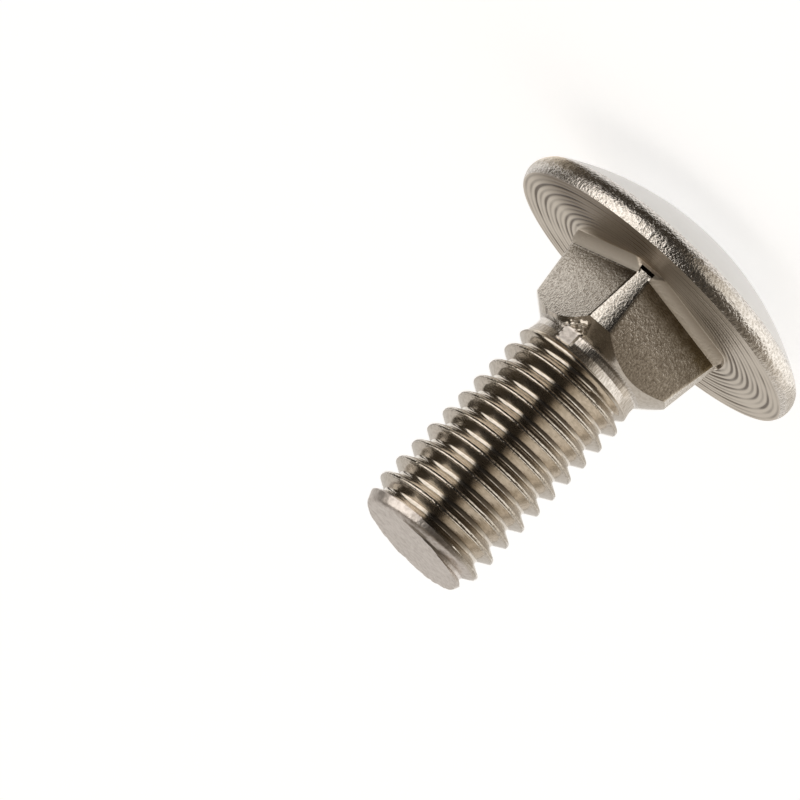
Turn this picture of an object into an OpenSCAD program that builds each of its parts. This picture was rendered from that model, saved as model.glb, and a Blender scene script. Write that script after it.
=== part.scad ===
// Mushroom-head bolt with a square neck, metric thread M8 x 1.25.
// The bolt stands on its domed head with the thread end up.
// Origin: centre of the bearing face under the head. +Z runs along the shank to the thread end.
// The flats of the square neck face +X, -X, +Y and -Y. All sizes are in mm.

/* [Head] */
// Width of the round head across its rim
head_d = 19.9; // [19.6:0.1:20.2]
// Height of the head from the bearing face to the top of the dome
head_h = 4.35; // [4.2:0.05:4.5]
// Radius of the dome
dome_r = 17; // [16.5:0.5:18]
// Width of the small flat that heading and tumbling leave on the crown of the dome
crown_flat = 2.4; // [2:0.1:3]
// Radius the edge of the rim is rounded to
rim_round = 1; // [0.9:0.05:1.05]

/* [Square neck] */
// Width of the neck across its flats
neck_w = 8; // [7.6:0.1:8.4]
// Height of the neck corners above the bearing face
neck_h = 4.1; // [3.6:0.1:4.6]
// Width across the corners at the head, where the taper that trims them starts
corner_d = 10.9; // [10.6:0.1:11.2]
// Width across the corners at the shoulder, where the taper ends
corner_end_d = 9.7; // [9.4:0.1:10.2]
// Height of the sloping shoulder between the corners and the round shank
shoulder_h = 1.05; // [0.8:0.05:1.4]
// Size of the sloping foot that joins the flats to the head
foot = 0.5; // [0.4:0.05:0.6]
// Width across the rounded corners of the foot
foot_corner_d = 11.1; // [11:0.1:11.6]
// Width of the notch the die leaves under each corner
notch_w = 0.9; // [0.7:0.05:1.1]
// Height of the notch above the bearing face
notch_h = 0.32; // [0.24:0.02:0.36]
// Depth of the notch into the corner
notch_depth = 0.15; // [0.1:0.05:0.3]
// Radius of the hollow where the shoulder runs into the shank
fillet = 0.5; // [0.3:0.05:0.6]

/* [Thread] */
// Length from the bearing face to the thread end
length = 19.45; // [18:0.05:26]
// Width over the thread crests
thread_d = 7.8; // [7.76:0.02:7.96]
// Width between the thread roots
root_d = 6.4; // [6.3:0.02:6.6]
// Rise of the thread in one turn
pitch = 1.25; // [1.25]
// Width of the plain shank the thread is rolled from
shank_d = 7.22; // [7.1:0.02:7.3]
// Height above the bearing face where the thread starts to rise from the shank
thread_start = 5.95; // [5.8:0.05:6.4]
// Length over which the thread grows to its full depth
run_out = 0.5; // [0.4:0.1:1.2]

/* [Thread end] */
// Width of the end face
end_d = 6.75; // [6.5:0.05:7]
// Height of the tapered lead at the thread end
lead_h = 1.25; // [0.9:0.05:1.6]
// Slant of the cropped end face in degrees
end_slant = 4.5; // [0:0.5:5]
// Side the end face slopes down to, in degrees round from +X
end_side = -40; // [-180:2:180]

/* [Hidden] */
$fn = 96;
// Height of the dome's centre, so that the crown's flat lies at the full height of the head
dome_z = sqrt(dome_r * dome_r - crown_flat * crown_flat / 4) - head_h;
// Surfaces that run into one another overlap by this much, so that they cross in a clean edge
overlap = 0.03;
// Centre of the rim's rounding, which runs into the dome at about the radius rim_end
rim_x = head_d / 2 - rim_round;
rim_z = sqrt(pow(dome_r - rim_round + overlap, 2) - rim_x * rim_x) - dome_z;
rim_end = rim_x * dome_r / (dome_r - rim_round);
// Slope of the shoulder: how far it runs in and up, as shares of its length
shoulder_in = (corner_end_d - shank_d) / 2;
shoulder_length = sqrt(shoulder_in * shoulder_in + shoulder_h * shoulder_h);
slope_in = shoulder_in / shoulder_length;
slope_up = shoulder_h / shoulder_length;
// Centre of the hollow that touches the shoulder and sinks into the shank
hollow_x = shank_d / 2 - overlap + fillet;
hollow_z = neck_h + shoulder_h + (fillet - (fillet - overlap) * slope_up) / slope_in;
// Height of the notches' floor above the bearing face
notch_floor = 0.06;
// Steps in one turn of the thread, and rows of points across one pitch
turn_steps = 32;
pitch_rows = 6;
// The thread skin starts inside the neck and runs past the end, where it is cut off
skin_z0 = 2.5;
skin_rows = pitch_rows * ceil((length - skin_z0) / pitch + 1);
// Crest and root edges across one pitch, as shares of the pitch
crest_half = 0.07;
root_half = 0.14;

// Share of the thread's full depth at a height: none on the shank, all after the run-out
function grown(z) = max(0, min(1, (z - thread_start) / run_out));

// Place of a row across the pitch: two crest edges, then down the flank, across the root and up again
function row_place(k) =
    let (row = k % pitch_rows, turn = floor(k / pitch_rows))
    turn + (row == 0 ? -crest_half
          : row == 1 ? crest_half
          : row == 2 ? 0.5 - root_half
          : row == 3 ? 0.5 - root_half / 2
          : row == 4 ? 0.5 + root_half / 2
          : 0.5 + root_half);

// Radius of a row on the fully grown thread
function row_radius(k) =
    let (row = k % pitch_rows)
    row < 2 ? thread_d / 2
  : row == 2 || row == 5 ? root_d / 2 + 0.09
  : root_d / 2;

// Radius the tapered lead allows at a height
function lead_radius(z) =
    end_d / 2 + max(0, (length - z) * (thread_d - end_d) / (2 * lead_h));

// One point of the thread skin: step i round the turn, row k up the rod
function skin_point(i, k) =
    let (a = 360 * i / turn_steps,
         z = skin_z0 + pitch * (i / turn_steps + row_place(k)),
         r = min(shank_d / 2 + grown(z) * (row_radius(k) - shank_d / 2), lead_radius(z)))
    [r * cos(a), r * sin(a), z];

// Number of a skin point; the last column joins the first one, one pitch higher
function skin_number(i, k) =
    i < turn_steps ? i * (skin_rows + 1) + k
  : k <= skin_rows - pitch_rows ? k + pitch_rows
  : turn_steps * (skin_rows + 1) + k - (skin_rows - pitch_rows + 1);

// Threaded rod: one helical skin closed by a fan at each end
module threaded_rod() {
    low_centre = turn_steps * (skin_rows + 1) + pitch_rows;
    top_centre = low_centre + 1;
    points = concat(
        [for (i = [0 : turn_steps - 1], k = [0 : skin_rows]) skin_point(i, k)],
        [for (k = [skin_rows - pitch_rows + 1 : skin_rows]) skin_point(turn_steps, k)],
        [[0, 0, skin_z0], [0, 0, skin_z0 + pitch * (skin_rows / pitch_rows + 0.5)]]);
    sides = [for (i = [0 : turn_steps - 1], k = [0 : skin_rows - 1], half = [0, 1])
        half == 0
            ? [skin_number(i, k), skin_number(i, k + 1), skin_number(i + 1, k + 1)]
            : [skin_number(i, k), skin_number(i + 1, k + 1), skin_number(i + 1, k)]];
    low_fan = [for (i = [0 : turn_steps - 1])
        [skin_number(i, 0), skin_number(i + 1, 0), low_centre]];
    low_step = [for (k = [0 : pitch_rows - 1])
        [skin_number(0, k + 1), skin_number(0, k), low_centre]];
    top_fan = [for (i = [0 : turn_steps - 1])
        [skin_number(i + 1, skin_rows), skin_number(i, skin_rows), top_centre]];
    top_step = [for (k = [skin_rows - pitch_rows : skin_rows - 1])
        [skin_number(turn_steps, k), skin_number(turn_steps, k + 1), top_centre]];
    polyhedron(points, concat(sides, low_fan, low_step, top_fan, top_step), convexity = 10);
}

// Shank: the threaded rod cropped by the slanted end face
module shank() {
    intersection() {
        threaded_rod();
        translate([0, 0, length])
            rotate([0, 0, end_side])
                rotate([0, end_slant, 0])
                    translate([-10, -10, -30])
                        cube([20, 20, 30]);
    }
}

// Head: a spherical dome that runs into a rounded rim, cut by the flat bearing face
module head() {
    rotate_extrude()
        intersection() {
            translate([0, dome_z])
                circle(r = dome_r, $fn = 360);
            union() {
                translate([0, -head_h])
                    square([rim_end, head_h]);
                translate([rim_x, -rim_z])
                    circle(r = rim_round);
            }
            translate([0, -head_h])
                square([head_d, head_h]);
        }
}

// Neck: a square bar trimmed by one turned shape, so each flat ends in a round tongue
module neck() {
    difference() {
        intersection() {
            translate([-neck_w / 2, -neck_w / 2, -1])
                cube([neck_w, neck_w, hollow_z + 2]);
            rotate_extrude()
                difference() {
                    polygon([
                        [0, -1],
                        [corner_d / 2, -1],
                        [corner_d / 2, 0],
                        [corner_end_d / 2, neck_h],
                        [hollow_x - fillet * slope_up, hollow_z - fillet * slope_in],
                        [hollow_x - fillet, hollow_z],
                        [0, hollow_z]]);
                    translate([hollow_x, hollow_z])
                        circle(r = fillet);
                }
        }
        corner_notches(notch_h - notch_floor);
    }
}

// Foot: the sloping band where the flats meet the head, mitred round the corners and rounded off there
module neck_foot() {
    difference() {
        intersection() {
            foot_wedge();
            rotate([0, 0, 90])
                foot_wedge();
            translate([0, 0, -1])
                cylinder(d = foot_corner_d, h = foot + 2);
        }
        corner_notches(foot + 1);
    }
}

// One of the two crossing wedges that make the four slopes of the foot
module foot_wedge() {
    outer = neck_w / 2 + foot;
    inner = neck_w / 2;
    rotate([90, 0, 0])
        linear_extrude(2 * outer + 1, center = true)
            polygon([[-outer, -1], [outer, -1], [outer, 0], [inner, foot], [-inner, foot], [-outer, 0]]);
}

// Notches: the gaps that the die leaves under the four corners
module corner_notches(height) {
    for (turn = [45 : 90 : 315])
        rotate([0, 0, turn])
            translate([corner_d / 2 - notch_depth, -notch_w / 2, notch_floor])
                cube([2, notch_w, height]);
}

// The bolt: head, neck and shank in one piece
module bolt() {
    color([0.72, 0.70, 0.67])
        union() {
            head();
            neck();
            neck_foot();
            shank();
        }
}

bolt();
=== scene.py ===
import math

import bmesh
import bpy
import numpy as np
from mathutils import Matrix, Vector, noise


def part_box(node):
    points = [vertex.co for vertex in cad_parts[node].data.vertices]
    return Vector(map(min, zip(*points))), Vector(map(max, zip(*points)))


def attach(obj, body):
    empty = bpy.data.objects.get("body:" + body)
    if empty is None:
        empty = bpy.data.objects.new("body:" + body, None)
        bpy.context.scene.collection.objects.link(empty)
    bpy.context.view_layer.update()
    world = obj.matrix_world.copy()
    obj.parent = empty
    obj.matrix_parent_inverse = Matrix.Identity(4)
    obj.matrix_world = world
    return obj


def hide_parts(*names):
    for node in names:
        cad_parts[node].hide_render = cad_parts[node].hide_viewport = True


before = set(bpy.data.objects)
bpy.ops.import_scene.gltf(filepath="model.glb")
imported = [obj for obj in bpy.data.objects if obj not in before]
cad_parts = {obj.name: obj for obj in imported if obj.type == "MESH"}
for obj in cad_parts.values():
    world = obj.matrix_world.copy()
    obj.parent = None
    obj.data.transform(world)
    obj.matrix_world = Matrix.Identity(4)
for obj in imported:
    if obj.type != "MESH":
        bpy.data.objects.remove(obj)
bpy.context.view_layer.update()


# Head
# The low domed head of a square-neck bolt, struck in one piece with the shank from stainless steel wire.
# The dome is tumbled smooth and the rim keeps the grain of the struck edge. The turned die leaves rings on
# the bearing face below, which are partly worn away on one side.
MM = 0.001
bolt_low, bolt_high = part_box("bolt")
HEAD_RADIUS = bolt_high[0] / MM
HEAD_HEIGHT = -bolt_low[2] / MM
DOME_RADIUS = 17.0
CROWN_FLAT = 2.4
RIM_ROUND = 1.0
RIM_DENT = 0.05
RIM_DENT_SIZE = 0.55
COLUMNS = 240
DOME_ROWS = 24
RIM_ROWS = 22


def linear(colour):
    """An sRGB hex colour as linear red, green, blue and alpha."""
    parts = [int(colour[k : k + 2], 16) / 255 for k in (1, 3, 5)]
    return [x / 12.92 if x <= 0.04045 else ((x + 0.055) / 1.055) ** 2.4 for x in parts] + [1.0]


def add_node(tree, kind, settings=None, inputs=None):
    """Adds a node, sets its properties, links or sets its inputs, and gives back its outputs."""
    node = tree.nodes.new(kind)
    for name, value in (settings or {}).items():
        setattr(node, name, value)
    for socket, value in (inputs or {}).items():
        if isinstance(value, bpy.types.NodeSocket):
            tree.links.new(value, node.inputs[socket])
        else:
            node.inputs[socket].default_value = value
    return node.outputs


def start_finish(name, colour, roughness):
    """A plain stainless finish: its tree, the shader's inputs and the place on the bolt in millimetres."""
    finish = bpy.data.materials.new(name)
    finish.use_nodes = True
    tree = finish.node_tree
    shader = tree.nodes["Principled BSDF"].inputs
    shader["Base Color"].default_value = linear(colour)
    shader["Metallic"].default_value = 1.0
    shader["Roughness"].default_value = roughness
    place = add_node(tree, "ShaderNodeTexCoord")["Object"]
    scaled = {"Vector": place, "Scale": 1 / MM}
    place_mm = add_node(tree, "ShaderNodeVectorMath", {"operation": "SCALE"}, scaled)["Vector"]
    return finish, tree, shader, place_mm


# Tumbled stainless: the eye sees a soft satin with faint cloudy patches and a very fine grain.
TUMBLED_CLOUD = 1.6
TUMBLED_SHINY = 0.28
TUMBLED_DULL = 0.46
TUMBLED_GRAIN = 0.09
TUMBLED_RELIEF = 0.005
tumbled, tree, shader, place_mm = start_finish("tumbled_stainless", "#E3E1DE", 0.36)
cloud = {"Vector": place_mm, "Scale": 1 / TUMBLED_CLOUD, "Detail": 4.0}
cloud = add_node(tree, "ShaderNodeTexNoise", None, cloud)["Fac"]
patches = {"Value": cloud, "To Min": TUMBLED_SHINY, "To Max": TUMBLED_DULL}
tree.links.new(add_node(tree, "ShaderNodeMapRange", None, patches)[0], shader["Roughness"])
grain = {"Vector": place_mm, "Scale": 1 / TUMBLED_GRAIN, "Detail": 3.0}
grain = add_node(tree, "ShaderNodeTexNoise", None, grain)["Fac"]
relief = {"Height": grain, "Strength": 1.0, "Distance": TUMBLED_RELIEF * MM}
tree.links.new(add_node(tree, "ShaderNodeBump", None, relief)[0], shader["Normal"])

# Heights of the pebbles' noise that count as a pit and as a bump.
PIT_LEVEL = 0.3
BUMP_LEVEL = 0.6


def grainy_finish(name, low_colour, high_colour, roughness, grain, relief, stretch=(1.0, 1.0, 1.0)):
    """A stainless finish with a pebbled skin of a grain and a relief in millimetres. The pits take the low
    colour, as painted shade in them, and the bumps the high one, and a stretch below one draws the pebbles
    out along that axis."""
    finish, tree, shader, place_mm = start_finish(name, high_colour, roughness)
    stretched = {0: place_mm, 1: stretch}
    pebble_place = add_node(tree, "ShaderNodeVectorMath", {"operation": "MULTIPLY"}, stretched)["Vector"]
    pebbles = {"Vector": pebble_place, "Scale": 1 / grain, "Detail": 2.0, "Roughness": 0.6}
    pebbles = add_node(tree, "ShaderNodeTexNoise", None, pebbles)["Fac"]
    bump = {"Height": pebbles, "Strength": 1.0, "Distance": relief * MM}
    tree.links.new(add_node(tree, "ShaderNodeBump", None, bump)[0], shader["Normal"])
    # The pits are painted darker than the bumps, as painted shade in them.
    height = {"Value": pebbles, "From Min": PIT_LEVEL, "From Max": BUMP_LEVEL}
    height = add_node(tree, "ShaderNodeMapRange", None, height)[0]
    tint = {0: height, 6: linear(low_colour), 7: linear(high_colour)}
    colour = add_node(tree, "ShaderNodeMix", {"data_type": "RGBA"}, tint)[2]
    tree.links.new(colour, shader["Base Color"])
    return finish, tree, shader, place_mm, colour


# Struck stainless: a bright skin broken into small pits and bumps, which sparkle light and dark.
struck = grainy_finish("struck_stainless", "#C0B9B0", "#EEE9E3", 0.24, 0.17, 0.052)[0]

# Turned stainless: the die's tool marks run round the axis, drawn as coarse as 0.16 mm so that they show.
# The rings' grooves are painted dark brown, as painted shade in them. One side of the face is darkened
# brown, partly by a thin film and partly as painted shade beside the neck, and the neck's foot is painted
# darker towards its lower end as painted shade. The darkening's edge and full strength on the face are
# cosines of the angle from its side.
TURNED_METAL = 0.85
TURNED_MARK = 0.16
TURNED_MARK_RELIEF = 0.012
TURNED_GRAIN = 0.12
TURNED_GRAIN_RELIEF = 0.022
GROOVE_SHADE_FULL = -0.032
GROOVE_SHADE_EDGE = -0.002
FILM_AND_SHADE_SIDE = math.radians(-20)
FILM_AND_SHADE_EDGE = 0.62
FILM_AND_SHADE_FULL = 0.94
FILM_AND_SHADE_TOP = 0.03
FOOT_SHADE = 0.75
FOOT_SHADE_TOP = 0.5
turned, tree, shader, place_mm = start_finish("turned_stainless", "#CFC5B8", 0.38)
shader["Metallic"].default_value = TURNED_METAL
level = {0: place_mm, 1: (1.0, 1.0, 0.0)}
flat_place = add_node(tree, "ShaderNodeVectorMath", {"operation": "MULTIPLY"}, level)["Vector"]
radius = add_node(tree, "ShaderNodeVectorMath", {"operation": "LENGTH"}, {0: flat_place})["Value"]
marks = {"W": radius, "Scale": 1 / TURNED_MARK, "Detail": 3.0}
marks = add_node(tree, "ShaderNodeTexNoise", {"noise_dimensions": "1D"}, marks)["Fac"]
relief = {"Height": marks, "Strength": 1.0, "Distance": TURNED_MARK_RELIEF * MM}
marked = add_node(tree, "ShaderNodeBump", None, relief)[0]
grain = {"Vector": place_mm, "Scale": 1 / TURNED_GRAIN, "Detail": 2.0}
grain = add_node(tree, "ShaderNodeTexNoise", None, grain)["Fac"]
relief = {"Height": grain, "Strength": 1.0, "Distance": TURNED_GRAIN_RELIEF * MM, "Normal": marked}
tree.links.new(add_node(tree, "ShaderNodeBump", None, relief)[0], shader["Normal"])
height = add_node(tree, "ShaderNodeSeparateXYZ", None, {0: place_mm})["Z"]
# Painted shade: the rings' grooves are painted dark brown.
groove_shade = {"Value": height, "From Min": GROOVE_SHADE_FULL, "From Max": GROOVE_SHADE_EDGE}
groove_shade = add_node(tree, "ShaderNodeMapRange", None, groove_shade)[0]
tint = {0: groove_shade, 6: linear("#6E6152"), 7: linear("#E0D7CA")}
colour = add_node(tree, "ShaderNodeMix", {"data_type": "RGBA"}, tint)[2]
# One side of the face is darkened brown, partly by a film and partly as painted shade.
outward = add_node(tree, "ShaderNodeVectorMath", {"operation": "NORMALIZE"}, {0: flat_place})["Vector"]
near_film_and_shade = {0: outward, 1: (math.cos(FILM_AND_SHADE_SIDE), math.sin(FILM_AND_SHADE_SIDE), 0.0)}
near_film_and_shade = add_node(tree, "ShaderNodeVectorMath", {"operation": "DOT_PRODUCT"}, near_film_and_shade)["Value"]
face_film_and_shade = {"Value": near_film_and_shade, "From Min": FILM_AND_SHADE_EDGE, "From Max": FILM_AND_SHADE_FULL}
face_film_and_shade = add_node(tree, "ShaderNodeMapRange", {"interpolation_type": "SMOOTHSTEP"}, face_film_and_shade)[0]
# Painted shade: the neck's foot is darker towards its lower end, where it meets the face.
foot_shade = add_node(tree, "ShaderNodeMapRange", None, {
    "Value": height, "From Min": FILM_AND_SHADE_TOP, "From Max": FOOT_SHADE_TOP,
    "To Min": FOOT_SHADE, "To Max": 0.0})[0]
on_face = add_node(tree, "ShaderNodeMath", {"operation": "LESS_THAN"}, {0: height, 1: FILM_AND_SHADE_TOP})[0]
film_and_shade = {0: on_face, 2: foot_shade, 3: face_film_and_shade}
film_and_shade = add_node(tree, "ShaderNodeMix", {"data_type": "FLOAT"}, film_and_shade)[0]
film_and_shade_tint = {0: film_and_shade, 6: colour, 7: linear("#9E9385")}
film_and_shade_tint = add_node(tree, "ShaderNodeMix", {"data_type": "RGBA", "blend_type": "MULTIPLY"}, film_and_shade_tint)[2]
tree.links.new(film_and_shade_tint, shader["Base Color"])

# The skin of head and neck is built in rows of points round the axis. A number says which finish the band
# below a row has; it is the finish's place in the bolt's list of materials.
TUMBLED, STRUCK, TURNED, PRESSED, TRIMMED, NOTCH_SHADE, DRAWN, ROLLED, SHEARED = range(9)
LUMP_STEP = Vector((7.3, 2.9, 5.1))
column_turn = 2 * np.pi * np.arange(COLUMNS) / COLUMNS
skin_rows = []
skin_finishes = []


def smooth_min(a, b, reach):
    """The smaller of two values, with the change from one to the other rounded over a reach."""
    share = np.clip(0.5 + 0.5 * (b - a) / reach, 0.0, 1.0)
    return b + (a - b) * share - reach * share * (1.0 - share)


def lumps(radius, angle, height, size, seed):
    """Smooth random swells between -1 and 1 of a size in millimetres, one for each point."""
    points = np.broadcast_arrays(radius * np.cos(angle), radius * np.sin(angle), height)
    offset = LUMP_STEP * seed
    return np.array([noise.noise(Vector(p) / size + offset) for p in zip(*points)])


def add_row(radius, angle, height, finish):
    """Adds one row of points round the bolt, with the finish of the band that leads up to it."""
    full = np.ones(COLUMNS)
    east = radius * np.cos(angle) * full
    north = radius * np.sin(angle) * full
    skin_rows.append(np.stack([east, north, height * full], 1))
    skin_finishes.append(np.array(finish * full, int))


# The dome runs down from the flat on its crown to the dented rim, which rounds up to the bearing face.
dome_centre = math.sqrt(DOME_RADIUS**2 - (CROWN_FLAT / 2) ** 2) - HEAD_HEIGHT
rim_x = HEAD_RADIUS - RIM_ROUND
rim_z = math.sqrt((DOME_RADIUS - RIM_ROUND) ** 2 - rim_x**2) - dome_centre
crown_polar = math.asin(CROWN_FLAT / 2 / DOME_RADIUS)
rim_polar = math.asin(rim_x / (DOME_RADIUS - RIM_ROUND))
for polar in np.linspace(crown_polar, rim_polar, DOME_ROWS + 1):
    height = dome_centre - DOME_RADIUS * math.cos(polar)
    add_row(DOME_RADIUS * math.sin(polar), column_turn, height, TUMBLED)
rim_lean = np.linspace(rim_polar - math.pi / 2, math.asin(rim_z / RIM_ROUND), RIM_ROWS + 1)
for step, lean in enumerate(rim_lean[1:], 1):
    swell = lumps(HEAD_RADIUS, column_turn, RIM_ROUND * lean, RIM_DENT_SIZE, 1)
    dented = RIM_ROUND - RIM_DENT * (0.5 + 0.5 * swell) * math.sin(math.pi * step / RIM_ROWS)
    add_row(rim_x + dented * math.cos(lean), column_turn, -rim_z + dented * math.sin(lean), STRUCK)
bearing_edge = rim_x + RIM_ROUND * math.cos(rim_lean[-1])


# Square neck
# The square neck under the head bites into timber or a square hole so that the bolt can't turn.
# It is pressed with the head: four matte flats, corners trimmed to a taper, a sloping foot round them, and
# a sloping shoulder to the shank.
NECK_HALF = 4.0
NECK_HEIGHT = 4.1
FLAT_DRAFT = 0.04
CORNER_RADIUS = 5.45
CORNER_END = 4.85
EDGE_ROUND = 0.035
FOOT = 0.66
FOOT_SLOPE = 0.85
FOOT_CURVE = 1.25
FOOT_CORNER = 5.55
FOOT_ROUND = 0.1
NOTCH_HALF = 0.45
NOTCH_LOW = 0.2
NOTCH_HIGH = 0.4
NOTCH_DEPTH = 0.22
NOTCH_WALL = 0.005
SHADED_CORNER = 3
SHANK_RADIUS = 3.58
SHOULDER_HEIGHT = 1.05
HOLLOW_REACH = 0.14
COLLAR_HEIGHT = 6.1
COLLAR_RADIUS = 3.69
COLLAR_FLARE = 5.6
FLAT_COLUMNS = 24
LAND_COLUMNS = 12
RING_ROWS = 84
FLAT_ROWS = 30
SHOULDER_ROWS = 34

# Pressed stainless: matte and pebbled, darkened brown low down, partly by the die's film and partly as
# painted shade towards the bearing face.
PRESSED_CLOUD = 0.5
CLOUD_REACH = 1.6
FLAT_FILM_AND_SHADE_LOW = 1.0
FLAT_FILM_AND_SHADE_HIGH = 3.4
FLAT_FILM_AND_SHADE_TILT = (0.12, 0.12, 1.0)
pressed, tree, shader, place_mm, colour = grainy_finish(
    "pressed_stainless", "#A0978C", "#D2CBC1", 0.15, 0.15, 0.014)
cloud = {"Vector": place_mm, "Scale": 1 / PRESSED_CLOUD, "Detail": 4.0}
cloud = add_node(tree, "ShaderNodeTexNoise", None, cloud)["Fac"]
tilted = {0: place_mm, 1: FLAT_FILM_AND_SHADE_TILT}
tilted = add_node(tree, "ShaderNodeVectorMath", {"operation": "DOT_PRODUCT"}, tilted)["Value"]
height = {0: cloud, 1: CLOUD_REACH, 2: tilted}
height = add_node(tree, "ShaderNodeMath", {"operation": "MULTIPLY_ADD"}, height)[0]
# The flats are darkened brown towards their lower end, partly by film and partly as painted shade.
film_and_shade = add_node(tree, "ShaderNodeMapRange", None, {
    "Value": height, "From Min": FLAT_FILM_AND_SHADE_LOW, "From Max": FLAT_FILM_AND_SHADE_HIGH,
    "To Min": 1.0, "To Max": 0.0})[0]
tint = {0: film_and_shade, 6: colour, 7: linear("#645844")}
tree.links.new(add_node(tree, "ShaderNodeMix", {"data_type": "RGBA"}, tint)[2], shader["Base Color"])

# Trimmed stainless: the corners' lands are wiped by the die, bright with a fine grain.
trimmed = grainy_finish("trimmed_stainless", "#B4ACA2", "#EAE5DE", 0.2, 0.13, 0.019)[0]

# Painted shade: the notch under one corner is painted nearly black for the shade that fills it, so it
# shows as a nearly black gap.
notch_shade = grainy_finish("notch_painted_shade", "#120F0C", "#2A241D", 0.6, 0.1, 0.02)[0]

# Drawn stainless: the plain shank keeps the skin of the wire, with fine lines along it from drawing.
drawn = grainy_finish("drawn_stainless", "#BDB5AB", "#E6E0D9", 0.24, 0.1, 0.016, (1.0, 1.0, 0.2))[0]


def land_radius(height):
    """Radius of the trimmed corners at a height above the bearing face."""
    return CORNER_RADIUS - (CORNER_RADIUS - CORNER_END) * height / NECK_HEIGHT


def flat_half(height):
    """Distance of the flats from the axis at a height. They lean in a little, by the draft of the die."""
    return NECK_HALF + FLAT_DRAFT * (NECK_HEIGHT / 2 - height)


def neck_turn(height):
    """Angle of each column, spread so that two columns of every quarter follow the edges of its corner."""
    notch_edge = math.pi / 4 - math.asin(NOTCH_HALF / CORNER_RADIUS)
    land_edge = math.acos(flat_half(max(height, FOOT)) / land_radius(max(height, FOOT)))
    share = np.clip((height - NOTCH_HIGH) / (FOOT - NOTCH_HIGH), 0.0, 1.0)
    edge = notch_edge + share * (land_edge - notch_edge)
    quarter = COLUMNS // 4
    place = np.arange(COLUMNS) % quarter
    known = [0, FLAT_COLUMNS, FLAT_COLUMNS + LAND_COLUMNS, quarter]
    local = np.interp(place, known, [0, edge, math.pi / 2 - edge, math.pi / 2])
    return local + (np.arange(COLUMNS) // quarter) * math.pi / 2


def from_flat(angle):
    """Angle from the middle of the nearest flat."""
    return (angle + math.pi / 4) % (math.pi / 2) - math.pi / 4


def neck_radius(angle, height):
    """Radius of the neck: the flats, trimmed by the tapered corners."""
    return smooth_min(flat_half(height) / np.cos(from_flat(angle)), land_radius(height), EDGE_ROUND)


def foot_radius(angle, height):
    """Radius of the sloping foot, which is a little hollow and is rounded off at the corners."""
    reach = flat_half(FOOT) + FOOT_SLOPE * FOOT * max(0.0, 1.0 - height / FOOT) ** FOOT_CURVE
    return smooth_min(reach / np.cos(from_flat(angle)), FOOT_CORNER, FOOT_ROUND)


# The bearing face runs in from the rim to the foot of the neck, with the die's rings sunk into it. They
# sway and ripple, each has a strength of its own, and they fade in patches and towards the worn side.
RING_PITCH = 0.385
RING_NARROW = 1.6
RING_DEPTH = 0.036
RING_WANDER = 0.12
SWAY_SIZE = 5.0
RIPPLE_SIZE = 1.8
RIPPLE_SHARE = 0.3
PATCH_SIZE = 2.2
PATCH_MEAN = 0.8
PATCH_RANGE = (0.2, 1.4)
STRENGTH_STEP = 2.3
STRENGTH_SEED = 4.7
STRENGTH_SPREAD = 1.2
STRENGTH_RANGE = (0.3, 1.5)
WORN_SIDE = math.radians(-62)
WORN_SPREAD = math.radians(38)
WORN_SHARE = 0.6
RIM_EASE = 0.15
FOOT_EASE = 0.4
foot_turn = neck_turn(0.0)
foot_edge = foot_radius(foot_turn, 0.0)
for step in range(1, RING_ROWS + 1):
    share = step / RING_ROWS
    angle = column_turn + share * (foot_turn - column_turn)
    radius = bearing_edge + share * (foot_edge - bearing_edge)
    sway = lumps(radius, angle, 0.0, SWAY_SIZE, 2)
    ripple = lumps(radius, angle, 0.0, RIPPLE_SIZE, 3)
    patch = lumps(radius, angle, 0.0, PATCH_SIZE, 4)
    rings_in = (bearing_edge - radius + RING_WANDER * (sway + RIPPLE_SHARE * ripple)) / RING_PITCH
    ring = (0.5 - 0.5 * np.cos(2 * np.pi * rings_in)) ** RING_NARROW
    numbers = [STRENGTH_STEP * math.floor(n) for n in rings_in]
    strength = np.array([noise.noise(Vector((n, STRENGTH_SEED, 0.0))) for n in numbers])
    strength = np.clip(1.0 + STRENGTH_SPREAD * strength, *STRENGTH_RANGE)
    patch = np.clip(PATCH_MEAN + PATCH_MEAN * patch, *PATCH_RANGE)
    from_worn = (angle - WORN_SIDE + math.pi) % (2 * math.pi) - math.pi
    kept = 1.0 - WORN_SHARE * np.exp(-((from_worn / WORN_SPREAD) ** 2))
    ease = np.minimum((radius - foot_edge) / FOOT_EASE, (bearing_edge - radius) / RIM_EASE)
    depth = RING_DEPTH * patch * kept * strength * ring * np.clip(ease, 0.0, 1.0)
    add_row(radius, angle, -depth, TURNED)

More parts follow.
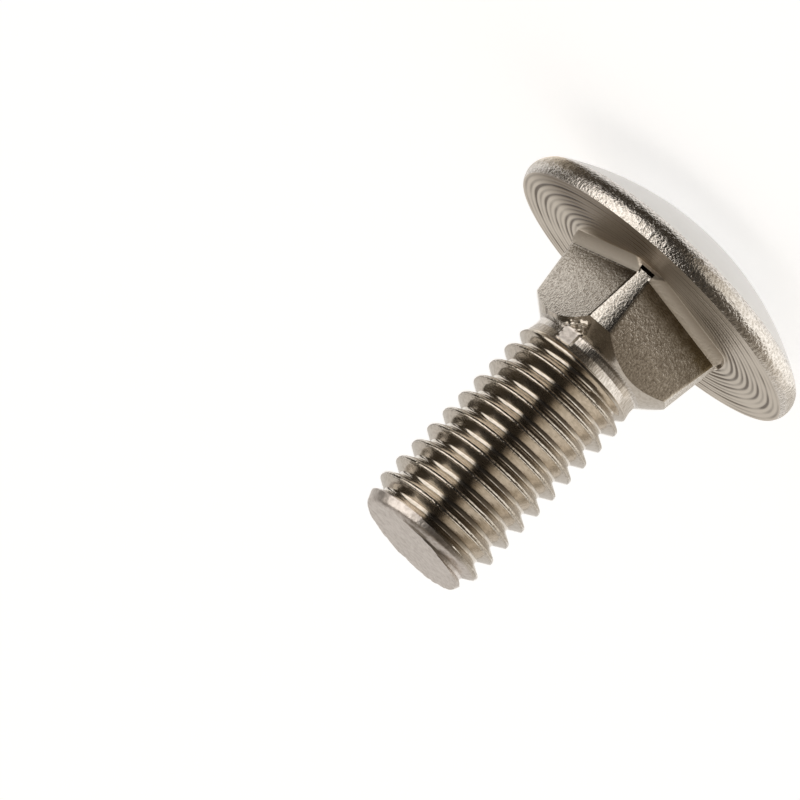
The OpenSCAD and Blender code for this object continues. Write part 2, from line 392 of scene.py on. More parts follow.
# The foot runs round each corner, but leaves a notch under it where the die's corner stood.
FOOT_HEIGHTS = (
    0.05, 0.12, NOTCH_LOW, NOTCH_LOW + NOTCH_WALL, (NOTCH_LOW + NOTCH_HIGH) / 2,
    NOTCH_HIGH - NOTCH_WALL, NOTCH_HIGH, (NOTCH_HIGH + FOOT) / 2, FOOT)
column_place = np.arange(COLUMNS) % (COLUMNS // 4)
on_land = (column_place >= FLAT_COLUMNS) & (column_place < FLAT_COLUMNS + LAND_COLUMNS)
in_notch = on_land & (column_place > FLAT_COLUMNS)
at_shaded_corner = on_land & (np.arange(COLUMNS) // (COLUMNS // 4) == SHADED_CORNER)
for height in FOOT_HEIGHTS:
    angle = neck_turn(height)
    land = neck_radius(angle, height)
    radius = np.maximum(foot_radius(angle, height), land)
    finish = np.full(COLUMNS, TURNED)
    if NOTCH_LOW < height < NOTCH_HIGH:
        radius = np.where(in_notch, CORNER_RADIUS - NOTCH_DEPTH, radius)
    elif height >= NOTCH_HIGH:
        radius = np.where(in_notch, land, radius)
    # Painted shade: the notch under one corner takes the nearly black finish.
    if NOTCH_LOW < height <= NOTCH_HIGH:
        finish = np.where(at_shaded_corner, NOTCH_SHADE, TURNED)
    elif height > NOTCH_HIGH:
        finish = np.where(on_land, TRIMMED, TURNED)
    add_row(radius, angle, height, finish)

# Each flat runs up to the shoulder, which cuts it off in a round tongue.
shoulder_slope = (CORNER_END - SHANK_RADIUS) / SHOULDER_HEIGHT
tongue_turn = neck_turn(NECK_HEIGHT)
tongue_reach = 1.0 / np.cos(from_flat(tongue_turn))
shoulder_rise = CORNER_END + shoulder_slope * NECK_HEIGHT - flat_half(0.0) * tongue_reach
tongue_height = np.maximum(shoulder_rise / (shoulder_slope - FLAT_DRAFT * tongue_reach), NECK_HEIGHT)
for step in range(1, FLAT_ROWS + 1):
    share = step / FLAT_ROWS
    angle = neck_turn(FOOT + share * (NECK_HEIGHT - FOOT))
    height = FOOT + share * (tongue_height - FOOT)
    add_row(neck_radius(angle, height), angle, height, np.where(on_land, TRIMMED, PRESSED))

# The shoulder slopes in to the plain collar of the shank, which flares a little towards the thread. Beside
# one corner the dies squeezed out a small flat block of metal with ragged edges, and shards below it.
DRAWN_LOW = NECK_HEIGHT + SHOULDER_HEIGHT - 0.1
BLOCK_SIDE = math.radians(-27.2)
BLOCK_HALF = math.radians(7.8)
BLOCK_LOW = 5.0
BLOCK_TOP = 5.92
BLOCK_FACE = 3.73
RAGGED_SIZE = 0.22
RAGGED_SIDE = 0.2
RAGGED_LOW = 0.1
SHARD_HALF = math.radians(11)
SHARD_TOP = 5.05
SHARD_HEIGHT = 0.11
SHARD_SIZE = 0.17
SHARD_STEEP = 3.0
SHARD_EASE = 0.25
for step in range(1, SHOULDER_ROWS + 1):
    share = step / SHOULDER_ROWS
    angle = tongue_turn + share * (column_turn - tongue_turn)
    height = tongue_height + share * (COLLAR_HEIGHT - tongue_height)
    slope = CORNER_END - shoulder_slope * (height - NECK_HEIGHT)
    radius = -smooth_min(-slope, -SHANK_RADIUS * np.ones(COLUMNS), HOLLOW_REACH)
    flare = np.clip((height - COLLAR_FLARE) / (COLLAR_HEIGHT - COLLAR_FLARE), 0.0, 1.0)
    radius = radius + (COLLAR_RADIUS - SHANK_RADIUS) * flare
    side = (angle - BLOCK_SIDE + math.pi) % (2 * math.pi) - math.pi
    ragged = lumps(radius, angle, height, RAGGED_SIZE, 5)
    shard = np.clip(SHARD_STEEP * lumps(radius, angle, height, SHARD_SIZE, 6), 0.0, 1.0)
    on_shards = (np.abs(side) < SHARD_HALF) & (height < SHARD_TOP)
    radius = radius + SHARD_HEIGHT * shard * on_shards * min(1.0, share / SHARD_EASE)
    block = np.abs(side) < BLOCK_HALF * (1.0 + RAGGED_SIDE * ragged)
    block = block & (height > BLOCK_LOW + RAGGED_LOW * ragged) & (height < BLOCK_TOP)
    radius = np.where(block, np.maximum(radius, BLOCK_FACE / np.cos(side)), radius)
    finish = np.where(height > DRAWN_LOW, DRAWN, ROLLED)
    add_row(radius, angle, height, np.where(block, SHEARED, finish))


# Rolled thread and cropped end
# The shank's M8 thread is rolled between flat dies, which squeeze metal up into crests with a fine seam
# along them. The bar was sheared to length, so the end is a matte face that slants a little inside a
# tapered lead.
PITCH = 1.25
CREST_RADIUS = 3.9
ROOT_RADIUS = 3.2
# The middle of a crest lies on the +X side at this height, and again at every pitch above it.
THREAD_ZERO = 2.5
THREAD_START = 6.1
RUN_OUT = 0.4
LENGTH = 19.43
END_RADIUS = 3.375
LEAD_HEIGHT = 1.25
LEAD_ROUND = 0.03
LEAD_LIMIT = 4.4
DULL_LEAD = 0.98
END_SLANT = math.radians(4.5)
END_SIDE = math.radians(-40)
END_WAVE = 1.1
END_UNEVEN = 0.1
END_HOLLOW = 0.04
END_SWELL = 0.07
END_FADE = 5.0
FACE_EASE = 0.2
ROWS_PER_PITCH = 18
THREAD_PITCHES = 13
END_ROWS = 12
CROWDING = 0.6

# Rolled stainless: bright and clean from the dies, with fine streaks along the thread and small beads
# along its crests, where the metal met between the dies. The gaps between the beads are painted darker,
# as painted shade.
BRIGHT_BEAD = 0.11
BRIGHT_RELIEF = 0.016
CREST_EDGE = 0.13
CREST_FULL = 0.05
GAP_DARK = 0.36
GAP_EDGE = 0.5
GAP_SHARE = 0.35
rolled, tree, shader, place_mm, colour = grainy_finish(
    "rolled_stainless", "#C4BCB0", "#D6CEC3", 0.15, 0.12, 0.004, (0.4, 0.4, 1.0))
level = {0: place_mm, 1: (1.0, 1.0, 0.0)}
flat_place = add_node(tree, "ShaderNodeVectorMath", {"operation": "MULTIPLY"}, level)["Vector"]
radius = add_node(tree, "ShaderNodeVectorMath", {"operation": "LENGTH"}, {0: flat_place})["Value"]
crest = {"Value": radius, "From Min": CREST_RADIUS - CREST_EDGE, "From Max": CREST_RADIUS - CREST_FULL}
crest = add_node(tree, "ShaderNodeMapRange", None, crest)[0]
height = add_node(tree, "ShaderNodeSeparateXYZ", None, {0: place_mm})["Z"]
on_thread = {0: height, 1: THREAD_START}
on_thread = add_node(tree, "ShaderNodeMath", {"operation": "GREATER_THAN"}, on_thread)[0]
crest = add_node(tree, "ShaderNodeMath", {"operation": "MULTIPLY"}, {0: crest, 1: on_thread})[0]
beads = {"Vector": place_mm, "Scale": 1 / BRIGHT_BEAD, "Detail": 1.0}
beads = add_node(tree, "ShaderNodeTexNoise", None, beads)["Fac"]
raised = add_node(tree, "ShaderNodeMath", {"operation": "MULTIPLY"}, {0: beads, 1: crest})[0]
streaks = shader["Normal"].links[0].from_socket
relief = {"Height": raised, "Strength": 1.0, "Distance": BRIGHT_RELIEF * MM, "Normal": streaks}
tree.links.new(add_node(tree, "ShaderNodeBump", None, relief)[0], shader["Normal"])
# Painted shade: the gaps between the crest's beads are painted darker.
bead_gap_shade = {"Value": beads, "From Min": GAP_DARK, "From Max": GAP_EDGE, "To Min": GAP_SHARE, "To Max": 0.0}
bead_gap_shade = add_node(tree, "ShaderNodeMapRange", None, bead_gap_shade)[0]
bead_gap_shade = add_node(tree, "ShaderNodeMath", {"operation": "MULTIPLY"}, {0: bead_gap_shade, 1: crest})[0]
tint = {0: bead_gap_shade, 6: colour, 7: linear("#5C544A")}
tree.links.new(add_node(tree, "ShaderNodeMix", {"data_type": "RGBA"}, tint)[2], shader["Base Color"])

# Sheared stainless: a dull, even tear face with shallow pits.
sheared = grainy_finish("sheared_stainless", "#C9C1BA", "#E4DDD7", 0.36, 0.3, 0.03)[0]

# The tree lays a flat grid of columns and rows, then winds it round the axis, one pitch up for each turn.
tree = bpy.data.node_groups.new("rolled_thread", "GeometryNodeTree")
thread_sizes = {
    "Pitch": PITCH * MM,
    "Crest radius": CREST_RADIUS * MM,
    "Root radius": ROOT_RADIUS * MM,
    "Shank radius": COLLAR_RADIUS * MM,
    "Collar height": COLLAR_HEIGHT * MM,
    "Thread start": THREAD_START * MM,
    "Run-out": RUN_OUT * MM,
    "Length": LENGTH * MM,
    "End radius": END_RADIUS * MM,
    "Lead height": LEAD_HEIGHT * MM,
    "End slant": END_SLANT,
    "End side": END_SIDE,
}
thread_counts = {"Columns": COLUMNS, "Thread rows": ROWS_PER_PITCH * THREAD_PITCHES, "End rows": END_ROWS}
thread_finishes = {"Thread finish": rolled, "End finish": sheared}
input_kinds = (
    ("NodeSocketFloat", thread_sizes),
    ("NodeSocketInt", thread_counts),
    ("NodeSocketMaterial", thread_finishes),
)
thread_inputs = {}
for kind, values in input_kinds:
    for name, value in values.items():
        socket = tree.interface.new_socket(name=name, in_out="INPUT", socket_type=kind)
        thread_inputs[socket.identifier] = value
tree.interface.new_socket(name="Bolt end", in_out="OUTPUT", socket_type="NodeSocketGeometry")
size = add_node(tree, "NodeGroupInput")

# Column and row of each grid point, the turn it lies at and its share of the end face.
rows = add_node(tree, "ShaderNodeMath", {"operation": "ADD"}, {
    0: size["Thread rows"], 1: size["End rows"]})[0]
more_columns = add_node(tree, "ShaderNodeMath", {"operation": "ADD"}, {0: size["Columns"], 1: 1.0})[0]
more_rows = add_node(tree, "ShaderNodeMath", {"operation": "ADD"}, {0: rows, 1: 1.0})[0]
grid = add_node(tree, "GeometryNodeMeshGrid", None, {
    "Size X": size["Columns"], "Size Y": rows, "Vertices X": more_columns, "Vertices Y": more_rows})["Mesh"]
flat = add_node(tree, "ShaderNodeSeparateXYZ", None, {0: add_node(tree, "GeometryNodeInputPosition")[0]})
turn = add_node(tree, "ShaderNodeMath", {"operation": "DIVIDE"}, {0: flat["X"], 1: size["Columns"]})[0]
turn = add_node(tree, "ShaderNodeMath", {"operation": "ADD"}, {0: turn, 1: 0.5})[0]
angle = add_node(tree, "ShaderNodeMath", {"operation": "MULTIPLY"}, {0: turn, 1: 2 * math.pi})[0]
row = add_node(tree, "ShaderNodeMath", {"operation": "MULTIPLY_ADD"}, {0: rows, 1: 0.5, 2: flat["Y"]})[0]
end_share = add_node(tree, "ShaderNodeMapRange", None, {
    "Value": row, "From Min": size["Thread rows"], "From Max": rows})[0]

# Height: rows crowd together at the crests, and stop at the collar below and at the slanted end above.
pitches = add_node(tree, "ShaderNodeMath", {"operation": "DIVIDE"}, {0: row, 1: float(ROWS_PER_PITCH)})[0]
sway = add_node(tree, "ShaderNodeMath", {"operation": "MULTIPLY"}, {0: pitches, 1: 2 * math.pi})[0]
sway = add_node(tree, "ShaderNodeMath", {"operation": "SINE"}, {0: sway})[0]
pitches = add_node(tree, "ShaderNodeMath", {"operation": "MULTIPLY_ADD"}, {
    0: sway, 1: -CROWDING / (2 * math.pi), 2: pitches})[0]
pitches = add_node(tree, "ShaderNodeMath", {"operation": "ADD"}, {0: pitches, 1: turn})[0]
height = add_node(tree, "ShaderNodeMath", {"operation": "MULTIPLY_ADD"}, {
    0: pitches, 1: size["Pitch"], 2: (THREAD_ZERO + PITCH) * MM})[0]
side = add_node(tree, "ShaderNodeMath", {"operation": "SUBTRACT"}, {0: angle, 1: size["End side"]})[0]
side = add_node(tree, "ShaderNodeMath", {"operation": "COSINE"}, {0: side})[0]
drop = add_node(tree, "ShaderNodeMath", {"operation": "TANGENT"}, {0: size["End slant"]})[0]
drop = add_node(tree, "ShaderNodeMath", {"operation": "MULTIPLY"}, {0: drop, 1: size["End radius"]})[0]
drop = add_node(tree, "ShaderNodeMath", {"operation": "MULTIPLY"}, {0: drop, 1: side})[0]
end_height = add_node(tree, "ShaderNodeMath", {"operation": "SUBTRACT"}, {0: size["Length"], 1: drop})[0]

# The sheared edge is uneven, and falls short of the slant by up to a tenth of a millimetre.
UNEVEN_LOW = 0.3
UNEVEN_HIGH = 0.6
east = add_node(tree, "ShaderNodeMath", {"operation": "COSINE"}, {0: angle})[0]
north = add_node(tree, "ShaderNodeMath", {"operation": "SINE"}, {0: angle})[0]
edge_x = add_node(tree, "ShaderNodeMath", {"operation": "MULTIPLY"}, {0: east, 1: CREST_RADIUS})[0]
edge_y = add_node(tree, "ShaderNodeMath", {"operation": "MULTIPLY"}, {0: north, 1: CREST_RADIUS})[0]
edge_place = add_node(tree, "ShaderNodeCombineXYZ", None, {0: edge_x, 1: edge_y})[0]
uneven = add_node(tree, "ShaderNodeTexNoise", None, {
    "Vector": edge_place, "Scale": 1 / END_WAVE, "Detail": 3.0})[0]
uneven = add_node(tree, "ShaderNodeMapRange", None, {
    "Value": uneven, "From Min": UNEVEN_LOW, "From Max": UNEVEN_HIGH,
    "To Min": -END_UNEVEN * MM, "To Max": 0.0})[0]
end_height = add_node(tree, "ShaderNodeMath", {"operation": "ADD"}, {0: end_height, 1: uneven})[0]
height = add_node(tree, "ShaderNodeMath", {"operation": "MAXIMUM"}, {
    0: height, 1: size["Collar height"]})[0]
height = add_node(tree, "ShaderNodeMath", {"operation": "MINIMUM"}, {0: height, 1: end_height})[0]

# Place across the thread, from half a pitch below a crest to half a pitch above it.
place = add_node(tree, "ShaderNodeMath", {"operation": "SUBTRACT"}, {0: height, 1: THREAD_ZERO * MM})[0]
place = add_node(tree, "ShaderNodeMath", {"operation": "DIVIDE"}, {0: place, 1: size["Pitch"]})[0]
place = add_node(tree, "ShaderNodeMath", {"operation": "SUBTRACT"}, {0: place, 1: turn})[0]
place = add_node(tree, "ShaderNodeMath", {"operation": "WRAP"}, {0: place, 1: 0.5, 2: -0.5})[0]
reach = add_node(tree, "ShaderNodeMath", {"operation": "ABSOLUTE"}, {0: place})[0]

# Profile: straight flanks, rounded into the crest and more widely into the root. The crest's lower half
# leans. Its half width is a share of the pitch, and the rise and the fall are millimetres for one pitch.
CREST_HALF = 0.085
CREST_ROUND = 0.05
ROOT_ROUND = 0.16
FLANK_RISE = 2.1
LIP_FALL = 0.4
flank = add_node(tree, "ShaderNodeMath", {"operation": "SUBTRACT"}, {0: CREST_HALF, 1: reach})[0]
flank = add_node(tree, "ShaderNodeMath", {"operation": "MULTIPLY_ADD"}, {
    0: flank, 1: FLANK_RISE * MM, 2: size["Crest radius"]})[0]
lip = add_node(tree, "ShaderNodeMath", {"operation": "MINIMUM"}, {0: place, 1: 0.0})[0]
crest = add_node(tree, "ShaderNodeMath", {"operation": "MULTIPLY_ADD"}, {
    0: lip, 1: LIP_FALL * MM, 2: size["Crest radius"]})[0]
thread = add_node(tree, "ShaderNodeMath", {"operation": "SMOOTH_MIN"}, {
    0: flank, 1: crest, 2: CREST_ROUND * MM})[0]
thread = add_node(tree, "ShaderNodeMath", {"operation": "SMOOTH_MAX"}, {
    0: thread, 1: size["Root radius"], 2: ROOT_ROUND * MM})[0]

# The crest's seam and the small beads along it. The seam's place and half width, and the reach at which the
# beads fade out, are shares of the pitch.
SEAM_PLACE = 0.045
SEAM_HALF = 0.03
SEAM_DEPTH = 0.03
BEAD_SIZE = 0.18
BEAD_HEIGHT = 0.04
BEAD_MIDDLE = 0.6
BEAD_FADE = 0.17
seam = add_node(tree, "ShaderNodeMath", {"operation": "SUBTRACT"}, {0: place, 1: SEAM_PLACE})[0]
seam = add_node(tree, "ShaderNodeMath", {"operation": "ABSOLUTE"}, {0: seam})[0]
seam = add_node(tree, "ShaderNodeMapRange", {"interpolation_type": "SMOOTHSTEP"}, {
    "Value": seam, "From Max": SEAM_HALF, "To Min": -SEAM_DEPTH * MM, "To Max": 0.0})[0]
bead_z = add_node(tree, "ShaderNodeMath", {"operation": "DIVIDE"}, {0: height, 1: MM})[0]
bead_place = add_node(tree, "ShaderNodeCombineXYZ", None, {0: edge_x, 1: edge_y, 2: bead_z})[0]
bead = add_node(tree, "ShaderNodeTexNoise", None, {
    "Vector": bead_place, "Scale": 1 / BEAD_SIZE, "Detail": 1.0})[0]
bead = add_node(tree, "ShaderNodeMath", {"operation": "SUBTRACT"}, {0: bead, 1: BEAD_MIDDLE})[0]
on_crest = add_node(tree, "ShaderNodeMapRange", {"interpolation_type": "SMOOTHSTEP"}, {
    "Value": reach, "From Min": CREST_HALF, "From Max": BEAD_FADE,
    "To Min": BEAD_HEIGHT * MM, "To Max": 0.0})[0]
bead = add_node(tree, "ShaderNodeMath", {"operation": "MULTIPLY"}, {0: bead, 1: on_crest})[0]
thread = add_node(tree, "ShaderNodeMath", {"operation": "ADD"}, {0: thread, 1: seam})[0]
thread = add_node(tree, "ShaderNodeMath", {"operation": "ADD"}, {0: thread, 1: bead})[0]

# The thread rises from the plain shank over the run-out, and the lead trims it at the end.
full_height = add_node(tree, "ShaderNodeMath", {"operation": "ADD"}, {
    0: size["Thread start"], 1: size["Run-out"]})[0]
grown = add_node(tree, "ShaderNodeMapRange", None, {
    "Value": height, "From Min": size["Thread start"], "From Max": full_height})[0]
thread = add_node(tree, "ShaderNodeMath", {"operation": "SUBTRACT"}, {
    0: thread, 1: size["Shank radius"]})[0]
thread = add_node(tree, "ShaderNodeMath", {"operation": "MULTIPLY_ADD"}, {
    0: thread, 1: grown, 2: size["Shank radius"]})[0]
lead_start = add_node(tree, "ShaderNodeMath", {"operation": "SUBTRACT"}, {
    0: size["Length"], 1: size["Lead height"]})[0]
lead = add_node(tree, "ShaderNodeMapRange", {"clamp": False}, {
    "Value": height, "From Min": lead_start, "From Max": size["Length"],
    "To Min": size["Crest radius"], "To Max": size["End radius"]})[0]
lead = add_node(tree, "ShaderNodeMath", {"operation": "MINIMUM"}, {0: lead, 1: LEAD_LIMIT * MM})[0]
radius = add_node(tree, "ShaderNodeMath", {"operation": "SMOOTH_MIN"}, {
    0: thread, 1: lead, 2: LEAD_ROUND * MM})[0]

# The rows past the thread close the end face towards its middle, where the edge's unevenness fades out.
SWELL_MIDDLE = 0.62
x = add_node(tree, "ShaderNodeMath", {"operation": "MULTIPLY"}, {0: east, 1: radius})[0]
y = add_node(tree, "ShaderNodeMath", {"operation": "MULTIPLY"}, {0: north, 1: radius})[0]
wall = add_node(tree, "ShaderNodeCombineXYZ", None, {0: x, 1: y, 2: height})[0]
hollow = add_node(tree, "ShaderNodeMath", {"operation": "SUBTRACT"}, {
    0: size["Length"], 1: END_HOLLOW * MM})[0]
middle = add_node(tree, "ShaderNodeCombineXYZ", None, {2: hollow})[0]
wound = add_node(tree, "ShaderNodeMix", {"data_type": "VECTOR"}, {0: end_share, 4: wall, 5: middle})[1]
swell = add_node(tree, "ShaderNodeTexNoise", None, {
    "Vector": wound, "Scale": 1 / (END_WAVE * MM), "Detail": 2.0})[0]
swell = add_node(tree, "ShaderNodeMath", {"operation": "SUBTRACT"}, {0: swell, 1: SWELL_MIDDLE})[0]
on_face = add_node(tree, "ShaderNodeMapRange", None, {
    "Value": end_share, "From Max": FACE_EASE, "To Max": END_SWELL * MM})[0]
swell = add_node(tree, "ShaderNodeMath", {"operation": "MULTIPLY"}, {0: swell, 1: on_face})[0]
outer_share = add_node(tree, "ShaderNodeMath", {"operation": "SUBTRACT"}, {0: 1.0, 1: end_share})[0]
fade = add_node(tree, "ShaderNodeMath", {"operation": "POWER"}, {0: outer_share, 1: END_FADE})[0]
fade = add_node(tree, "ShaderNodeMath", {"operation": "SUBTRACT"}, {0: fade, 1: outer_share})[0]
swell = add_node(tree, "ShaderNodeMath", {"operation": "MULTIPLY_ADD"}, {0: fade, 1: uneven, 2: swell})[0]
swell = add_node(tree, "ShaderNodeCombineXYZ", None, {2: swell})[0]
wound = add_node(tree, "ShaderNodeVectorMath", {"operation": "ADD"}, {0: wound, 1: swell})[0]

# The end face and the last of the lead are marked on the grid, because they have the dull sheared finish.
WELD_REACH = 0.001
past_thread = add_node(tree, "FunctionNodeCompare", {"operation": "GREATER_THAN"}, {
    0: row, 1: size["Thread rows"]})[0]
dull_height = add_node(tree, "ShaderNodeMath", {"operation": "SUBTRACT"}, {
    0: size["Length"], 1: DULL_LEAD * MM})[0]
on_lead = add_node(tree, "FunctionNodeCompare", {"operation": "GREATER_THAN"}, {
    0: height, 1: dull_height})[0]
dull = add_node(tree, "FunctionNodeBooleanMath", {"operation": "OR"}, {0: past_thread, 1: on_lead})[0]
marked = add_node(tree, "GeometryNodeStoreNamedAttribute", {"data_type": "BOOLEAN", "domain": "FACE"}, {
    "Geometry": grid, "Name": "dull_end", "Value": dull})[0]
wound = add_node(tree, "GeometryNodeSetPosition", None, {"Geometry": marked, "Position": wound})[0]
wound = add_node(tree, "GeometryNodeMergeByDistance", None, {
    "Geometry": wound, "Distance": WELD_REACH * MM})[0]
wound = add_node(tree, "GeometryNodeRealizeInstances", None, {"Geometry": wound})[0]
wound = add_node(tree, "GeometryNodeSetMaterial", None, {
    "Geometry": wound, "Material": size["Thread finish"]})[0]
on_end = add_node(tree, "GeometryNodeInputNamedAttribute", {"data_type": "BOOLEAN"}, {
    "Name": "dull_end"})[0]
wound = add_node(tree, "GeometryNodeSetMaterial", None, {
    "Geometry": wound, "Selection": on_end, "Material": size["End finish"]})[0]
add_node(tree, "NodeGroupOutput", None, {"Bolt end": wound})

thread_maker = bpy.data.objects.new("thread_maker", bpy.data.meshes.new("thread_maker"))
bpy.context.collection.objects.link(thread_maker)
winding = thread_maker.modifiers.new("winding", "NODES")
winding.node_group = tree
for identifier, value in thread_inputs.items():
    winding[identifier] = value
depsgraph = bpy.context.evaluated_depsgraph_get()
thread_mesh = bpy.data.meshes.new_from_object(thread_maker.evaluated_get(depsgraph), depsgraph=depsgraph)
bpy.data.objects.remove(thread_maker)


# The bolt in one piece
# Head, neck and threaded shank are one piece of stainless steel, with no joint between them.
# So their skins are welded along the collar into one closed mesh, with a finish for each band of it.
SHARP_ANGLE = math.radians(38)
FOOT_LEVEL = 0.005
FOOT_REACH = 6.0
FINISHES = [tumbled, struck, turned, pressed, trimmed, notch_shade, drawn, rolled, sheared]
points = np.concatenate([[[0.0, 0.0, -HEAD_HEIGHT]], *skin_rows]) * MM
faces = [(0, 1 + (k + 1) % COLUMNS, 1 + k) for k in range(COLUMNS)]
face_finishes = list(skin_finishes[0])
for upper in range(1, len(skin_rows)):
    low_row = 1 + (upper - 1) * COLUMNS
    high_row = low_row + COLUMNS
    for k in range(COLUMNS):
        after = (k + 1) % COLUMNS
        faces.append((low_row + k, low_row + after, high_row + after, high_row + k))
    face_finishes.extend(skin_finishes[upper])
head_mesh = bpy.data.meshes.new("head_and_neck")
head_mesh.from_pydata(points.tolist(), [], faces)
head_mesh.polygons.foreach_set("material_index", face_finishes)
thread_slots = {k: FINISHES.index(finish) for k, finish in enumerate(thread_mesh.materials) if finish}
thread_numbers = [thread_slots[face.material_index] for face in thread_mesh.polygons]
thread_mesh.polygons.foreach_set("material_index", thread_numbers)

weld = bmesh.new()
weld.from_mesh(head_mesh)
weld.from_mesh(thread_mesh)
bmesh.ops.remove_doubles(weld, verts=weld.verts, dist=WELD_REACH * MM)
bmesh.ops.recalc_face_normals(weld, faces=weld.faces)
bolt_mesh = bpy.data.meshes.new("bolt_skin")
weld.to_mesh(bolt_mesh)
weld.free()
for finish in FINISHES:
    bolt_mesh.materials.append(finish)
bolt_mesh.shade_smooth()
bolt_mesh.set_sharp_from_angle(angle=SHARP_ANGLE)
# The foot runs softly into the bearing face, so the edge along its lower end isn't sharp.
for edge in bolt_mesh.edges:
    ends = [bolt_mesh.vertices[k].co / MM for k in edge.vertices]
    if all(abs(end.z) < FOOT_LEVEL and end.xy.length < FOOT_REACH for end in ends):
        edge.use_edge_sharp = False
bolt = bpy.data.objects.new("bolt_skin", bolt_mesh)
bpy.context.collection.objects.link(bolt)
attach(bolt, "root")
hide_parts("bolt")


# Studio
# A white floor under soft even light. Shiny steel shows what stands round it, so pale and dark cards stand
# round the bolt as a photographer sets them. They are seen only in the reflections.
# The camera's angles are taken from the bolt's axes, and its place is in millimetres from the origin.
CAMERA_SIDE = math.radians(-58.3)
CAMERA_FROM_AXIS = math.radians(80.397)
CAMERA_LEVEL = math.radians(0.278)
CAMERA_ROLL = math.radians(-136.0)
CAMERA_BACK = 226.545
CAMERA_ASIDE = -6.083
CAMERA_BELOW = 13.790
CAMERA_NEAR = 10.0
FOCAL_PIXELS = 4065.04
FRAME_PIXELS = 800
SENSOR = 36.0
towards = Vector((math.cos(CAMERA_SIDE), math.sin(CAMERA_SIDE), 0.0))
right = Vector((-math.sin(CAMERA_SIDE), math.cos(CAMERA_SIDE), 0.0))
up = Vector((0.0, 0.0, 1.0))
back = math.cos(CAMERA_FROM_AXIS) * up + math.sin(CAMERA_FROM_AXIS) * towards
above = math.sin(CAMERA_FROM_AXIS) * up - math.cos(CAMERA_FROM_AXIS) * towards
frame_right = math.cos(CAMERA_LEVEL) * right + math.sin(CAMERA_LEVEL) * above
frame_up = math.cos(CAMERA_LEVEL) * above - math.sin(CAMERA_LEVEL) * right
camera_place = (CAMERA_BACK * back - CAMERA_ASIDE * frame_right + CAMERA_BELOW * frame_up) * MM
camera_right = math.cos(CAMERA_ROLL) * frame_right + math.sin(CAMERA_ROLL) * frame_up
camera_up = math.cos(CAMERA_ROLL) * frame_up - math.sin(CAMERA_ROLL) * frame_right
camera_data = bpy.data.cameras.new("camera")
camera_data.sensor_width = SENSOR
camera_data.lens = FOCAL_PIXELS * SENSOR / FRAME_PIXELS
camera_data.clip_start = CAMERA_NEAR * MM
camera = bpy.data.objects.new("camera", camera_data)
camera_axes = Matrix((camera_right, camera_up, back)).transposed()
camera.matrix_world = Matrix.Translation(camera_place) @ camera_axes.to_4x4()
bpy.context.collection.objects.link(camera)
bpy.context.scene.camera = camera

world = bpy.data.worlds.new("studio")
world.use_nodes = True
world.node_tree.nodes["Background"].inputs["Color"].default_value = linear("#D8D4CF")
bpy.context.scene.world = world
bpy.context.scene.view_settings.view_transform = "Standard"

# Matte white floor: it shows white and keeps a soft shadow of the bolt.
FLOOR_HALF = 3.0
FLOOR_GLOW = 0.5
floor_paint = bpy.data.materials.new("matte_white_floor")
floor_paint.use_nodes = True
tree = floor_paint.node_tree
paint = tree.nodes["Principled BSDF"].inputs
paint["Base Color"].default_value = linear("#E6E6E6")
paint["Roughness"].default_value = 1.0
paint["Specular IOR Level"].default_value = 0.0
rays = add_node(tree, "ShaderNodeLightPath")
seen = {0: rays["Is Camera Ray"], 1: rays["Is Glossy Ray"]}
seen = add_node(tree, "ShaderNodeMath", {"operation": "MAXIMUM"}, seen)[0]
seen = {0: seen, 1: rays["Is Transmission Ray"]}
seen = add_node(tree, "ShaderNodeMath", {"operation": "MAXIMUM"}, seen)[0]
glow = add_node(tree, "ShaderNodeMath", {"operation": "MULTIPLY"}, {0: seen, 1: FLOOR_GLOW})[0]
paint["Emission Color"].default_value = linear("#FFFFFF")
tree.links.new(glow, paint["Emission Strength"])
ways = ((-1, -1), (1, -1), (1, 1), (-1, 1))
corners = [(x * FLOOR_HALF, y * FLOOR_HALF, -HEAD_HEIGHT * MM) for x, y in ways]
floor_mesh = bpy.data.meshes.new("floor")
floor_mesh.from_pydata(corners, [], [(0, 1, 2, 3)])
floor_mesh.materials.append(floor_paint)
floor = bpy.data.objects.new("floor", floor_mesh)
bpy.context.collection.objects.link(floor)

# Glowing paper: each card's tones are read from its points, so they change softly along it.
CARD_STEPS = 48
CARD_ROWS = 12
CARD_FADE = 5.0


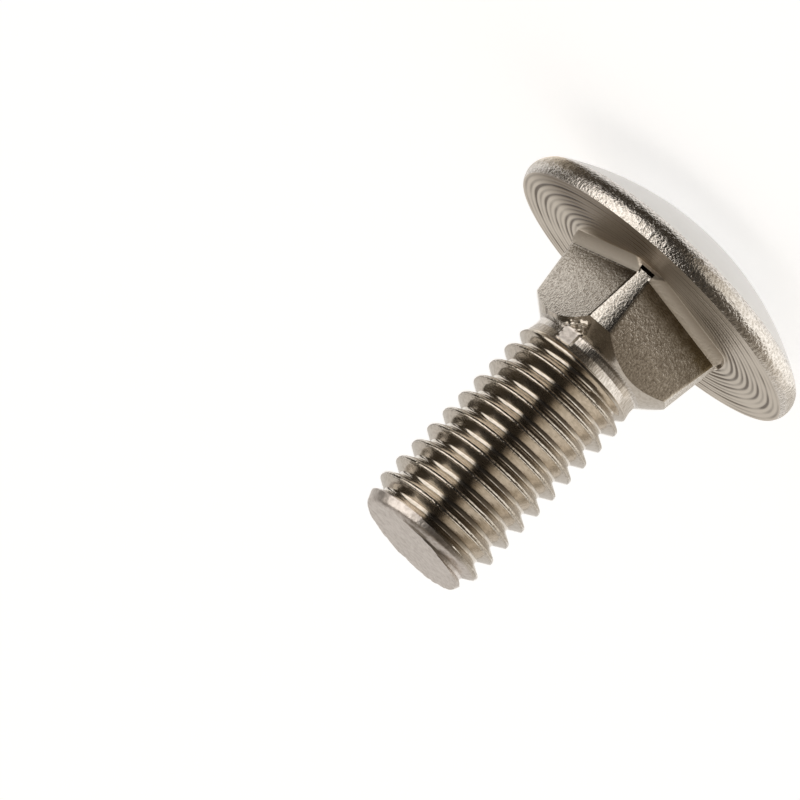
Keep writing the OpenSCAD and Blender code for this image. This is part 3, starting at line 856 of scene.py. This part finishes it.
def set_card(name, start, end, foot, top, colours, lights=(1.0, 1.0), lean=0.0):
    """Sets up a card that bends round the bolt between two angles, in degrees right of the camera, and is
    seen only in reflections. Foot and top are its two edges' distance from the axis and height in
    millimetres. The colours are spread evenly along it, the light changes from the foot to the top, and
    the top may lean round by an angle."""
    turns = np.radians(np.linspace(start, end, CARD_STEPS + 1))
    stops = np.array([linear(colour) for colour in colours])
    places = np.linspace(0, len(stops) - 1, CARD_STEPS + 1)
    tones = np.stack([np.interp(places, np.arange(len(stops)), channel) for channel in stops.T], 1)
    points = []
    shades = []
    for share in np.linspace(0.0, 1.0, CARD_ROWS + 1):
        distance, height = (1.0 - share) * np.array(foot) + share * np.array(top)
        for turn in turns + share * math.radians(lean):
            outward = math.cos(turn) * towards + math.sin(turn) * right
            points.append(tuple((distance * outward + height * up) * MM))
        shades.append(tones * (lights[1] + (lights[0] - lights[1]) * math.exp(-CARD_FADE * share)))
    wide = CARD_STEPS + 1
    corners = [row * wide + k for row in range(CARD_ROWS) for k in range(CARD_STEPS)]
    mesh = bpy.data.meshes.new(name)
    mesh.from_pydata(points, [], [(c, c + 1, c + wide + 1, c + wide) for c in corners])
    tone = mesh.attributes.new("tone", "FLOAT_COLOR", "POINT")
    tone.data.foreach_set("color", np.concatenate(shades).ravel())
    paper = bpy.data.materials.new(name)
    paper.use_nodes = True
    tree = paper.node_tree
    shade = add_node(tree, "ShaderNodeAttribute", {"attribute_name": "tone"})["Color"]
    light = add_node(tree, "ShaderNodeEmission", None, {"Color": shade})[0]
    tree.links.new(light, tree.nodes["Material Output"].inputs["Surface"])
    mesh.materials.append(paper)
    card = bpy.data.objects.new(name, mesh)
    card.visible_camera = False
    card.visible_diffuse = False
    card.visible_shadow = False
    bpy.context.collection.objects.link(card)


# Standing cards: they darken the left, light the right and leave a dark edge far round on the right.
CARD_LOW = -HEAD_HEIGHT + 0.1
CARD_TOP = 60
LEFT_TONES = (
    "#CBC6BF", "#B5AFA6", "#8B8479", "#6A6258", "#544D44",
    "#48423A", "#3E3932", "#262320", "#181614", "#181614")
PALE_TONES = ("#181614", "#E0DBD3") + ("#FFFAF4",) * 10 + ("#F6F0E8", "#E8E2D9", "#E8E2D9")
RIGHT_TONES = ("#463F35", "#3A342B", "#3A342B", "#463F35")
set_card("dark_card_left", -100, 20, (31, CARD_LOW), (31, CARD_TOP), LEFT_TONES, (2.2, 1.0))
set_card("pale_card_right", 20, 100, (36, CARD_LOW), (36, CARD_TOP), PALE_TONES, (1.2, 1.45))
set_card("dark_card_right", 66, 98, (34, CARD_LOW), (34, CARD_TOP), RIGHT_TONES, lean=55)
set_card("dark_card_far_right", 85, 100, (35, CARD_LOW), (35, 19), RIGHT_TONES, lean=52)

# Cards on the floor: the rim and the flats mirror them.
GREY_TONES = ("#D8D2C9", "#D8D2C9")
BRIGHT_TONES = ("#FCF9F4", "#FCF9F4")
FADE_TONES = ("#FCF9F4", "#F0ECE5", "#D6D0C6", "#9A9185", "#2A2621")
FLOOR_TONES = (
    "#28241F", "#28241F", "#2A2621", "#2E2924", "#443D34", "#A09789", "#DCD6CE", "#E4DFD8", "#F4F0EA")
set_card("grey_floor_behind", -175, -95, (12, CARD_LOW), (70, CARD_LOW), GREY_TONES)
set_card("pale_floor_left", -95, -40, (10.5, CARD_LOW), (31, CARD_LOW), BRIGHT_TONES, (1.25, 1.25))
set_card("faded_floor_front", -40, 2, (10.5, CARD_LOW), (31, CARD_LOW), FADE_TONES, (1.2, 1.2))
set_card("dark_floor_right", 2, 165, (10.5, CARD_LOW), (36, CARD_LOW), FLOOR_TONES, (3.0, 0.85))

# Cards overhead: the end face, the bearing face and the thread's upper flanks mirror them.
CARD_HIGH = 200
ABOVE_TONES = ("#6A6054", "#5A5146", "#4A4237", "#4A4237", "#6A6054")
OUTER_TONES = ("#8A8074", "#7C7266", "#7C7266", "#7C7266")
set_card("dark_card_above", -180, 180, (0.1, CARD_HIGH), (52, CARD_HIGH), ABOVE_TONES)
set_card("grey_card_above", -75, 120, (52, CARD_HIGH), (190, CARD_HIGH), OUTER_TONES)
